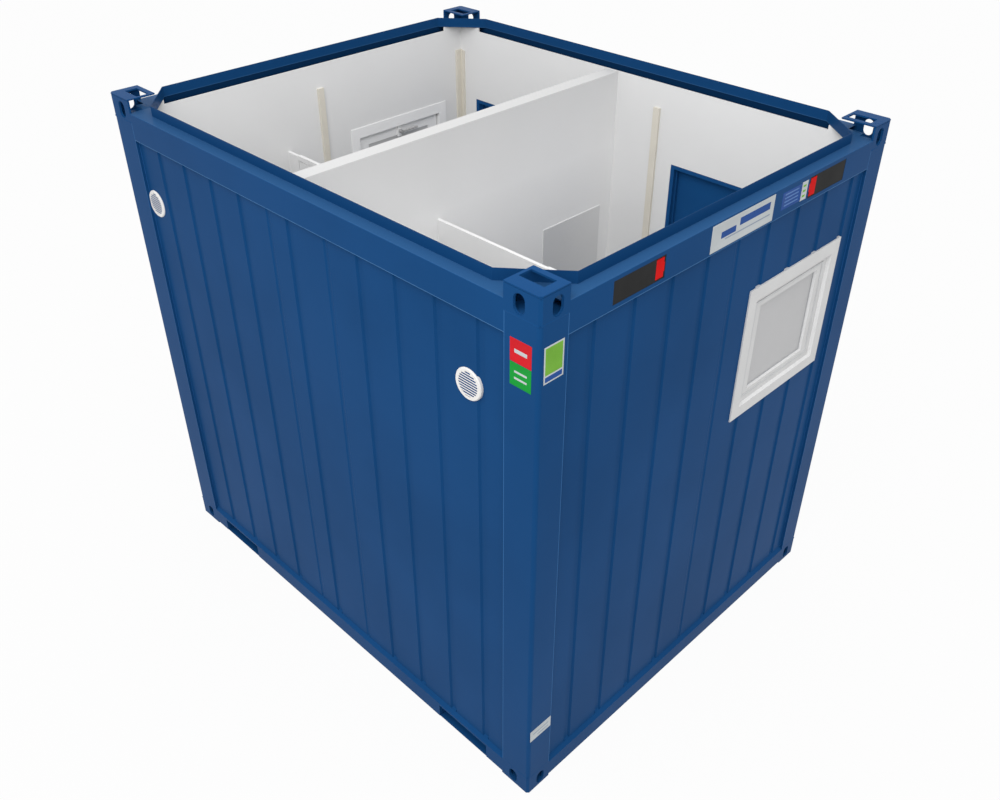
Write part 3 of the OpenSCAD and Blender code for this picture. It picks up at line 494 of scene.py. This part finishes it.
class CONTAINER_OT_finishes(bpy.types.Operator):
    """Gives every fixed and moving part of the container its finish"""

    bl_idname = "container.finishes"
    bl_label = "Finishes"

    def execute(self, context):
        colours = context.scene.container_finish
        self.paint_steel(tuple(colours.paint))
        self.line_rooms(tuple(colours.lining))
        self.colour_fittings()
        return {"FINISHED"}

    def paint_steel(self, coat):
        """Enamel on the frame, the wall sheets and the outer doors."""
        full, arris_highlight = toned(coat, 1.0), colour("#3A6CA0")
        # painted highlight: a thin lighter blue line along each post's edge where it meets the wall
        # sheets
        flank_x = between("X", HALF_X - POST_X + 0.0002, HALF_X - POST_X + 0.0026)
        flank_y = between("Y", HALF_Y - POST_Y + 0.0002, HALF_Y - POST_Y + 0.0026)
        inner = [("X", "LESS_THAN", HALF_X - OUTER_BAND), ("Y", "LESS_THAN", HALF_Y - OUTER_BAND)]
        above, below = ("Z", "GREATER_THAN", SHELF[1]), ("Z", "LESS_THAN", SHELF[0])
        post_zones = ((flank_x, arris_highlight), (flank_y, arris_highlight))
        # Roof frame: painted highlights on the rail's lower fold and on the shelf's top face, painted
        # shade on the lip's inner faces above the shelf and a deeper painted shade on the inner web
        # below it; the lip's top face is painted darker.
        roof_zones = (
            (between("Z", *RAIL_EDGE), colour("#4E7BA8")),
            (between("Z", *SHELF), colour("#2A527E")),
            (inner + [above], toned(coat, 0.84)),
            (inner + [below], toned(coat, 0.44)),
            ([("Z", "GREATER_THAN", LIP_EDGE)], toned(coat, 0.7)),
        )
        steel = paint("enamelled_steel_blue", full, toned(coat, 0.92))
        post = paint("enamelled_post_blue", full, toned(coat, 0.92), zones=post_zones)
        roof = paint("enamelled_roof_frame_blue", full, toned(coat, 0.92), zones=roof_zones)
        wall = paint("enamelled_wall_sheet_blue", full, toned(coat, 0.9), 0.35)
        door = paint("enamelled_door_frame_blue", toned(coat, 1.2), toned(coat, 1.1), 0.35)
        dress(steel, "floor_frame", "castings_bottom", "castings_top")
        dress(post, "corner_posts")
        dress(roof, "roof_frame")
        dress(wall, "cladding_front", "cladding_back", *both_sides("cladding"))
        dress(door, *both_sides("door_frame", "door_leaf"))

    def line_rooms(self, light):
        """Coated sheet and laminate on the walls, and the floor."""
        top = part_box("partition")[1]
        # painted shade: the partition's top face and its end face are painted a darker grey
        painted_shade_faces = (
            ([("Z", "GREATER_THAN", top[2] - 0.0005)], colour("#CACACA")),
            ([("Y", "GREATER_THAN", top[1] - 0.0005)], colour("#D6D6D6")),
        )
        lining = coated_sheet("coil_coated_lining_white", toned(light, 0.95), toned(light, 0.92))
        # the partition is painted lighter than the lining, as painted light against the shade that
        # falls on it, and darker towards its top as painted shade
        partition = coated_sheet(
            "coated_partition_white", toned(light, 1.13), toned(light, 1.1),
            zones=painted_shade_faces, painted_shading=(2.3, 2.7, 0.79),
        )
        laminate = coated_sheet("laminate_cubicle_white", "#E6E6E6", "#E2E2E2", 0.4)
        dress(lining, "lining_front", "lining_back", "lining_ends")
        dress(partition, "partition")
        dress(laminate, "cabin_walls", *both_sides("cabin_door"))
        dress(moulded("pvc_cable_duct_beige", "#D9D4C8", "#D5D0C4", 0.6, 0.004), "joint_strips")
        dress(foamed("rigid_foam_pale"), "insulation")
        dress(boarded("floor_board_brown"), "floor_board")
        dress(chipped_vinyl("chipped_vinyl_grey"), "floor_covering")
        dress(bright_metal("galvanised_sheet", "#A9ADB0", 0.45), "floor_pan")

    def colour_fittings(self):
        """Plastic, glass, china and bare metal."""
        window = moulded("pvc_window_white", "#D0D0D0", "#CCCCCC", 0.4, 0.004, 0.3)
        tree, skin, where = nodes_of(window)
        zone(tree, where, skin, [("X", "LESS_THAN", ROOM_SIDE_OF_WINDOW)], colour("#EFEFEF"))
        opening = between("Y", *WINDOW_OPENING_Y) + between("Z", *WINDOW_OPENING_Z)
        # painted highlight: the faces turning into each window's opening are painted a lighter grey
        for reveal in WINDOW_REVEALS:
            zone(tree, where, skin, between("X", *reveal) + opening, colour("#E8E8E8"))
        handle = moulded("moulded_handle_grey", "#A2A2A2", "#9C9C9C", 0.4, 0.004, 0.3)
        grille = slotted("moulded_grille_white", "#E4E2DF", "#DEDCD9", "#1D568F", vent_centres())
        tube = moulded("moulded_tube_white", "#DEDCD9", "#D8D6D3", 0.4, 0.02, 0.2)
        housing = moulded("moulded_housing_black", "#2A2A2A", "#2E2E2E", 0.5, 0.02, 0.03)
        connector = moulded("moulded_connector_red", "#CE1A1A", "#C41717", 0.5, 0.02, 0.03)
        rotor = moulded("moulded_fan_dark", "#2E2E30", "#353537", 0.45)
        seat = moulded("moulded_seat_white", "#E8E8E6", "#E4E4E2", 0.2)
        chrome = bright_metal("chromium_plate", "#D5D8DA", 0.09)
        steel = bright_metal("brushed_stainless_steel", "#C2C4C6", 0.28, (1, 1, 40))
        heater = paint("enamelled_heater_white", "#E6E6E6", "#E2E2E2", 0.35, 0.4)
        dress(window, *both_sides("window_frame", "window_sash"))
        dress(handle, *both_sides("window_handle"))
        dress(frosted("etched_glass_grey"), *both_sides("window_glass"))
        dress(grille, "grilles")
        dress(tube, "vents")
        dress(housing, "power_inlets")
        dress(connector, "inlet_lid_back", "inlet_lid_front")
        dress(rotor, *both_sides("fan_rotor"))
        dress(glazed("vitreous_china_white"), "toilet_pans", "cisterns", "wash_basins")
        dress(seat, *both_sides("toilet_seat", "toilet_lid"))
        dress(chrome, "taps", *both_sides("tap_lever", "flush_button"))
        dress(steel, *both_sides("door_handle", "door_bolt", "cabin_lock"))
        dress(silvered("silvered_glass"), "mirrors")
        dress(heater, "heaters")


class CONTAINER_OT_seals(bpy.types.Operator):
    """Puts the glazing seals and the door seals in place"""

    bl_idname = "container.seals"
    bl_label = "Seals"

    def execute(self, context):
        rubber = moulded("extruded_seal_grey", "#B2B4B6", "#ABADB0", 0.6)
        dark = moulded("extruded_seal_black", "#1E1F20", "#242526", 0.65)
        pale = moulded("extruded_seal_light_grey", "#C9CACB", "#C4C5C6", 0.6)
        for sx, side in ENDS:
            low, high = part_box("window_glass_" + side)
            pane = max(abs(low[0]), abs(high[0]))
            # lies 9.8 mm inside the pane's edge, where the sash ends, and stands 3.5 mm proud
            ring(
                "glazing_seal_" + side,
                (
                    span(sx, pane - 0.0003, pane + 0.0035),
                    (low[1] + 0.0098, high[1] - 0.0098),
                    (low[2] + 0.0098, high[2] - 0.0098),
                ),
                0, 0.005, rubber, "window_" + side, 0.0015,
            )
            low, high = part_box("window_sash_" + side)
            outer = HALF_X - 0.0255
            # the frame's opening is 24 mm inside the sash on each side and 25.5 mm above and below
            ring(
                "reveal_seal_" + side,
                (
                    span(sx, outer - 0.0062, outer - 0.003),
                    (low[1] + 0.024, high[1] - 0.024),
                    (low[2] + 0.0255, high[2] - 0.0255),
                ),
                0, 0.0105, pale, "container", 0.0006,
            )
            low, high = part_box("door_leaf_" + side)
            ring(
                "door_seal_" + side,
                (
                    (low[0] + 0.012, high[0] - 0.012),
                    DOOR_SEAL,
                    (low[2] + 0.006, high[2] - 0.006),
                ),
                1, 0.009, dark, "outer_door_" + side, 0.0003,
            )
        return {"FINISHED"}


class CONTAINER_OT_weld_beads(bpy.types.Operator):
    """Lays the weld beads between the corner castings and the posts"""

    bl_idname = "container.weld_beads"
    bl_label = "Weld beads"

    def execute(self, context):
        blue = paint("enamelled_weld_blue", "#164678", "#144272", 0.4)
        # a bead is 6 mm wide, stands 0.3 mm proud and stops short of the rounded corner
        half, proud, sunk, short = 0.003, 0.0003, 0.002, 0.006
        for joint, z in CASTING_JOINTS:
            zs = (z - half, z + half)
            for sx, sy, corner in CORNERS:
                spans = {
                    "long": (
                        span(sx, HALF_X - POST_X + 0.001, HALF_X - short),
                        span(sy, HALF_Y - sunk, HALF_Y + proud),
                    ),
                    "short": (
                        span(sx, HALF_X - sunk, HALF_X + proud),
                        span(sy, HALF_Y - POST_Y + 0.001, HALF_Y - short),
                    ),
                }
                for face, (xs, ys) in spans.items():
                    bead = block("weld_%s_%s_%s" % (joint, corner, face), xs, ys, zs)
                    soften(bead, 0.0009, 3)
                    settle(bead, blue, "container")
        return {"FINISHED"}


class CONTAINER_OT_sealant(bpy.types.Operator):
    """Runs a bead of sealant round each wall sheet"""

    bl_idname = "container.sealant"
    bl_label = "Sealant beads"

    def execute(self, context):
        blue = moulded("elastic_sealant_blue", "#1C4F86", "#1A4B80", 0.55, 0.02, 0.1)
        # a bead is 4.5 mm wide, and reaches from 1 mm behind the sheet to 3.5 mm before it
        width, back, proud = 0.0045, 0.001, 0.0035
        edge_x, edge_y = HALF_X - POST_X, HALF_Y - POST_Y
        upright, across = (SHEET_FOOT, SHEET_TOP - width), (SHEET_TOP - width, SHEET_TOP)

        def bead(name, xs, ys, zs):
            piece = block("sealant_" + name, xs, ys, zs)
            soften(piece, 0.0012)
            settle(piece, blue, "container")

        for sy, ny in SIDES:
            sheet = HALF_Y - SHEET_DEPTH
            ys = span(sy, sheet - back, sheet + proud)
            bead(ny + "_top", (-edge_x, edge_x), ys, across)
            for sx, nx in ENDS:
                bead(ny + "_" + nx, span(sx, edge_x - width, edge_x), ys, upright)
        for sx, nx in ENDS:
            sheet = HALF_X - SHEET_DEPTH
            xs = span(sx, sheet - back, sheet + proud)
            bead(nx + "_top", xs, (-edge_y, edge_y), across)
            for sy, ny in SIDES:
                bead(nx + "_" + ny, xs, span(sy, edge_y - width, edge_y), upright)
        return {"FINISHED"}


class CONTAINER_OT_casting_pans(bpy.types.Operator):
    """Closes the inner side of each top casting with a pan, two walls and two skirts"""

    bl_idname = "container.casting_pans"
    bl_label = "Casting pans"

    def execute(self, context):
        # painted highlight: the pan takes the shelf's lighter blue
        painted_shading = paint("enamelled_pan_blue", "#2A527E", "#284F79", 0.4)
        blue = paint("enamelled_casting_wall_blue", "#1F5C9A", "#1D5690", 0.4)
        # the closing sheets stand just outside the lining, behind the long and the short side
        behind_long, behind_short = (1.1323, 1.1350), (1.4098, 1.4125)
        level, rise, drop = (2.7362, 2.7398), (2.7002, 2.7360), (2.6500, 2.7358)
        sheets = (
            ("pan", (1.3290, 1.4125), (1.0900, 1.1350), level, painted_shading),
            ("wall_long", (1.3168, 1.4095), behind_long, rise, blue),
            ("wall_short", behind_short, (1.0658, 1.1350), rise, blue),
            ("skirt_long", (1.2700, 1.3162), behind_long, drop, blue),
            ("skirt_short", behind_short, (1.0050, 1.0652), drop, blue),
        )
        for sx, sy, corner in CORNERS:
            for kind, xs, ys, zs, skin in sheets:
                piece = block("casting_%s_%s" % (kind, corner), span(sx, *xs), span(sy, *ys), zs)
                soften(piece, 0.0006)
                settle(piece, skin, "container")
        return {"FINISHED"}


class CONTAINER_OT_web_ends(bpy.types.Operator):
    """Carries the roof frame's leaning inner web on into the corners"""

    bl_idname = "container.web_ends"
    bl_label = "Web ends"

    def execute(self, context):
        coat = tuple(context.scene.container_finish.paint)
        # painted shade: the plates take the web's darker blue, 0.44 of the paint
        blue = paint("enamelled_web_blue", toned(coat, 0.44), toned(coat, 0.42))
        # plates 2.5 mm thick from under the shelf, whose top leans inwards by 4 mm
        back, front, lean = 0.055, 0.0525, 0.004
        zs = (2.6903, 2.7357)
        for sx, sy, corner in CORNERS:
            spans = {
                "long": (
                    span(sx, 1.1947, 1.2600),
                    span(sy, HALF_Y - back, HALF_Y - front),
                    (0, -sy * lean, 0),
                ),
                "short": (
                    span(sx, HALF_X - back, HALF_X - front),
                    span(sy, 0.9577, 1.0000),
                    (-sx * lean, 0, 0),
                ),
            }
            for face, (xs, ys, shift) in spans.items():
                piece = block("web_end_%s_%s" % (face, corner), xs, ys, zs)
                choose(piece, facing(2, 1))
                bpy.ops.transform.translate(value=shift)
                soften(piece, 0.0004)
                settle(piece, blue, "container")
        return {"FINISHED"}


class CONTAINER_OT_louvres(bpy.types.Operator):
    """Puts a closing flap behind each ventilation grille"""

    bl_idname = "container.louvres"
    bl_label = "Ventilator flaps"

    def execute(self, context):
        blue = moulded("moulded_flap_blue", "#1A4F87", "#184A80", 0.6, 0.02, 0.05)
        thickness, gap = 0.0018, 0.0003
        for (_, side), (x, face, z) in zip(ENDS, vent_centres()):
            fresh()
            y = face - GRILLE_PLATE - gap - thickness / 2
            bpy.ops.mesh.primitive_cylinder_add(
                vertices=64, radius=GRILLE_REACH, depth=thickness, location=(x, y, z),
                rotation=(math.radians(90), 0, 0),
            )
            flap = context.object
            flap.name = "flap_" + side
            bpy.ops.object.transform_apply(location=True, rotation=True, scale=True)
            choose(flap, facing(1, 1))
            bpy.ops.mesh.inset(thickness=0.004, depth=0)
            bpy.ops.mesh.inset(thickness=0.0008, depth=-0.0006)
            soften(flap, 0.0002)
            settle(flap, blue, "container")
        return {"FINISHED"}


class CONTAINER_OT_plates(bpy.types.Operator):
    """Fixes the plates to the roof rail and the signs to the near corner post"""

    bl_idname = "container.plates"
    bl_label = "Plates and signs"

    def execute(self, context):
        sizes = context.scene.container_plates
        thick = sizes.thickness

        def sheet(shade, base, other):
            return moulded("printed_sheet_" + shade, base, other, 0.45, 0.02, 0.05)

        white = sheet("white", "#BCC1C3", "#B7BCBE")
        blue = sheet("blue", "#2A4F92", "#284B8A")
        pale = sheet("pale_blue", "#5F82B8", "#5B7DB2")
        red = sheet("red", "#CB232B", "#C21F27")
        green = sheet("green", "#1B9338", "#188C34")
        leaf = sheet("leaf_green", "#74AB40", "#6EA43B")
        grey = sheet("grey", "#8E98A8", "#8893A3")

        def fix(name, axis, sign, half, along, up, material, mark):
            """Puts a plate on a face, or a printed mark on a plate."""
            if mark:
                back, rise, sunk = half + thick * 0.3, thick * 0.9, thick * 0.2
            else:
                back, rise, sunk = half - 0.0002, thick, thick * 0.5
            depth = span(sign, back, half + rise)
            spans = (depth, along, up) if axis == 0 else (along, depth, up)
            rim = min(sizes.rim, (up[1] - up[0]) / 5, (along[1] - along[0]) / 5)
            plate(name, spans, axis, sign, material, rim, sunk)

        def on_end(name, y0, y1, z0, z1, material, mark=False):
            fix(name, 0, -1, HALF_X, (y0, y1), (z0, z1), material, mark)

        def on_side(name, x0, x1, z0, z1, material, mark=False):
            fix(name, 1, 1, HALF_Y, (x0, x1), (z0, z1), material, mark)

        on_end("name_plate", -0.236, 0.219, 2.609, 2.731, white)
        on_end("name_plate_band_wide", -0.205, 0.02, 2.672, 2.706, blue, True)
        on_end("name_plate_band_short", 0.045, 0.15, 2.655, 2.684, blue, True)
        on_end("name_plate_line", -0.21, 0.12, 2.643, 2.649, grey, True)
        on_end("data_plate", -0.455, -0.298, 2.632, 2.713, blue)
        for k in range(4):
            low = 2.645 + k * 0.017
            on_end("data_plate_line_%d" % (k + 1), -0.43, -0.32, low, low + 0.006, pale, True)
        on_end("test_strip", -0.503, -0.453, 2.628, 2.716, white)
        for k in range(3):
            low = 2.642 + k * 0.024
            on_end("test_strip_mark_%d" % (k + 1), -0.49, -0.466, low, low + 0.01, leaf, True)
        on_side("red_sign", -1.458, -1.351, 2.5, 2.599, red)
        on_side("red_sign_bar", -1.436, -1.373, 2.541, 2.557, white, True)
        on_side("green_sign", -1.458, -1.351, 2.398, 2.498, green)
        on_side("green_sign_bar_low", -1.436, -1.373, 2.428, 2.437, white, True)
        on_side("green_sign_bar_high", -1.436, -1.373, 2.456, 2.465, white, True)
        on_end("post_sign", 1.088, 1.193, 2.443, 2.599, white)
        on_end("post_sign_field", 1.095, 1.186, 2.478, 2.592, leaf, True)
        on_end("post_sign_band", 1.095, 1.186, 2.449, 2.471, blue, True)
        on_end("foot_label", 1.069, 1.209, 0.404, 0.477, white)
        on_end("foot_label_line_low", 1.085, 1.16, 0.42, 0.426, grey, True)
        on_end("foot_label_line_high", 1.085, 1.19, 0.444, 0.45, grey, True)
        return {"FINISHED"}


class CONTAINER_OT_stage(bpy.types.Operator):
    """Sets up the floor, the lamps and the camera"""

    bl_idname = "container.stage"
    bl_label = "Stage"

    def execute(self, context):
        settings = context.scene.container_stage
        self.lay_floor(context)
        self.light_world(context, settings.sky)
        self.hang_lamp(context, settings.key)
        self.place_camera(context, settings.lens)
        context.scene.view_settings.view_transform = "Standard"
        return {"FINISHED"}

    def lay_floor(self, context):
        """A paper floor that keeps the shadow and shows white to the camera and in reflections."""
        fresh()
        bpy.ops.mesh.primitive_circle_add(
            vertices=96, radius=60, fill_type="NGON", location=(0, 0, -0.0005)
        )
        floor = context.object
        floor.name = "floor"
        bpy.ops.object.transform_apply(location=True, rotation=True, scale=True)
        material = bpy.data.materials.new("paper_white")
        material.use_nodes = True
        tree = material.node_tree
        tree.nodes.clear()
        matt = add(tree, "ShaderNodeBsdfDiffuse", values={"Color": colour("#CCCCCC")})
        glow = add(tree, "ShaderNodeEmission", values={"Color": (1, 1, 1, 1), "Strength": 1.0})
        ray = add(tree, "ShaderNodeLightPath")
        seen = ray.outputs["Is Camera Ray"]
        for other in ("Is Glossy Ray", "Is Transmission Ray"):
            links = {0: seen, 1: ray.outputs[other]}
            seen = add(tree, "ShaderNodeMath", links, operation="MAXIMUM").outputs[0]
        share = add(tree, "ShaderNodeMath", {0: seen}, {1: 0.95}, operation="MULTIPLY")
        links = {0: share.outputs[0], 1: matt.outputs[0], 2: glow.outputs[0]}
        both = add(tree, "ShaderNodeMixShader", links)
        add(tree, "ShaderNodeOutputMaterial", {"Surface": both.outputs[0]})
        floor.data.materials.append(material)

    def light_world(self, context, strength):
        """Even light from all round, behind which the camera sees white."""
        world = bpy.data.worlds.new("studio")
        context.scene.world = world
        world.use_nodes = True
        tree = world.node_tree
        tree.nodes.clear()
        ray = add(tree, "ShaderNodeLightPath")
        white = {"Color": (1, 1, 1, 1)}
        even = add(tree, "ShaderNodeBackground", values=dict(white, Strength=strength))
        backdrop = add(tree, "ShaderNodeBackground", values=dict(white, Strength=1.0))
        links = {0: ray.outputs["Is Camera Ray"], 1: even.outputs[0], 2: backdrop.outputs[0]}
        both = add(tree, "ShaderNodeMixShader", links)
        add(tree, "ShaderNodeOutputWorld", {"Surface": both.outputs[0]})

    def hang_lamp(self, context, power):
        """One large soft lamp over the long side."""
        place, aim = Vector((-2.5, 4.2, 7.2)), Vector((0, 0, 1.6))
        data = bpy.data.lights.new("key_lamp", "AREA")
        data.shape = "SQUARE"
        data.size = 5.0
        data.energy = power
        lamp = bpy.data.objects.new("key_lamp", data)
        context.scene.collection.objects.link(lamp)
        lamp.location = place
        lamp.rotation_euler = (aim - place).to_track_quat("-Z", "Y").to_euler()

    def place_camera(self, context, lens):
        """The photograph's viewpoint, which looks down over the near corner."""
        view = bpy.data.cameras.new("photo_view")
        view.sensor_fit = "HORIZONTAL"
        view.sensor_width = 36
        view.lens = lens
        view.clip_end = 200
        camera = bpy.data.objects.new("photo_view", view)
        context.scene.collection.objects.link(camera)
        camera.location = (-3.4443, 3.3606, 4.4399)
        camera.rotation_euler = Vector((1, -1, -1)).to_track_quat("-Z", "Y").to_euler()
        context.scene.camera = camera


STEPS = (
    CONTAINER_OT_finishes,
    CONTAINER_OT_seals,
    CONTAINER_OT_weld_beads,
    CONTAINER_OT_sealant,
    CONTAINER_OT_casting_pans,
    CONTAINER_OT_web_ends,
    CONTAINER_OT_louvres,
    CONTAINER_OT_plates,
    CONTAINER_OT_stage,
)


class CONTAINER_PT_panel(bpy.types.Panel):
    """Lists the steps in the sidebar"""

    bl_idname = "CONTAINER_PT_panel"
    bl_label = "Sanitary container"
    bl_space_type = "VIEW_3D"
    bl_region_type = "UI"
    bl_category = "Container"

    def draw(self, context):
        scene = context.scene
        for step in STEPS:
            self.layout.operator(step.bl_idname)
        for group in (scene.container_finish, scene.container_plates, scene.container_stage):
            column = self.layout.column()
            for key in group.bl_rna.properties.keys():
                if key not in ("rna_type", "name"):
                    column.prop(group, key)


CLASSES = (FinishSettings, PlateSettings, StageSettings) + STEPS + (CONTAINER_PT_panel,)


def register():
    for cls in CLASSES:
        bpy.utils.register_class(cls)
    bpy.types.Scene.container_finish = bpy.props.PointerProperty(type=FinishSettings)
    bpy.types.Scene.container_plates = bpy.props.PointerProperty(type=PlateSettings)
    bpy.types.Scene.container_stage = bpy.props.PointerProperty(type=StageSettings)


def unregister():
    del bpy.types.Scene.container_stage
    del bpy.types.Scene.container_plates
    del bpy.types.Scene.container_finish
    for cls in reversed(CLASSES):
        bpy.utils.unregister_class(cls)


def main():
    register()
    bpy.ops.container.finishes()
    bpy.ops.container.seals()
    bpy.ops.container.weld_beads()
    bpy.ops.container.sealant()
    bpy.ops.container.casting_pans()
    bpy.ops.container.web_ends()
    bpy.ops.container.louvres()
    bpy.ops.container.plates()
    bpy.ops.container.stage()
    fresh()


if __name__ == "__main__":
    main()
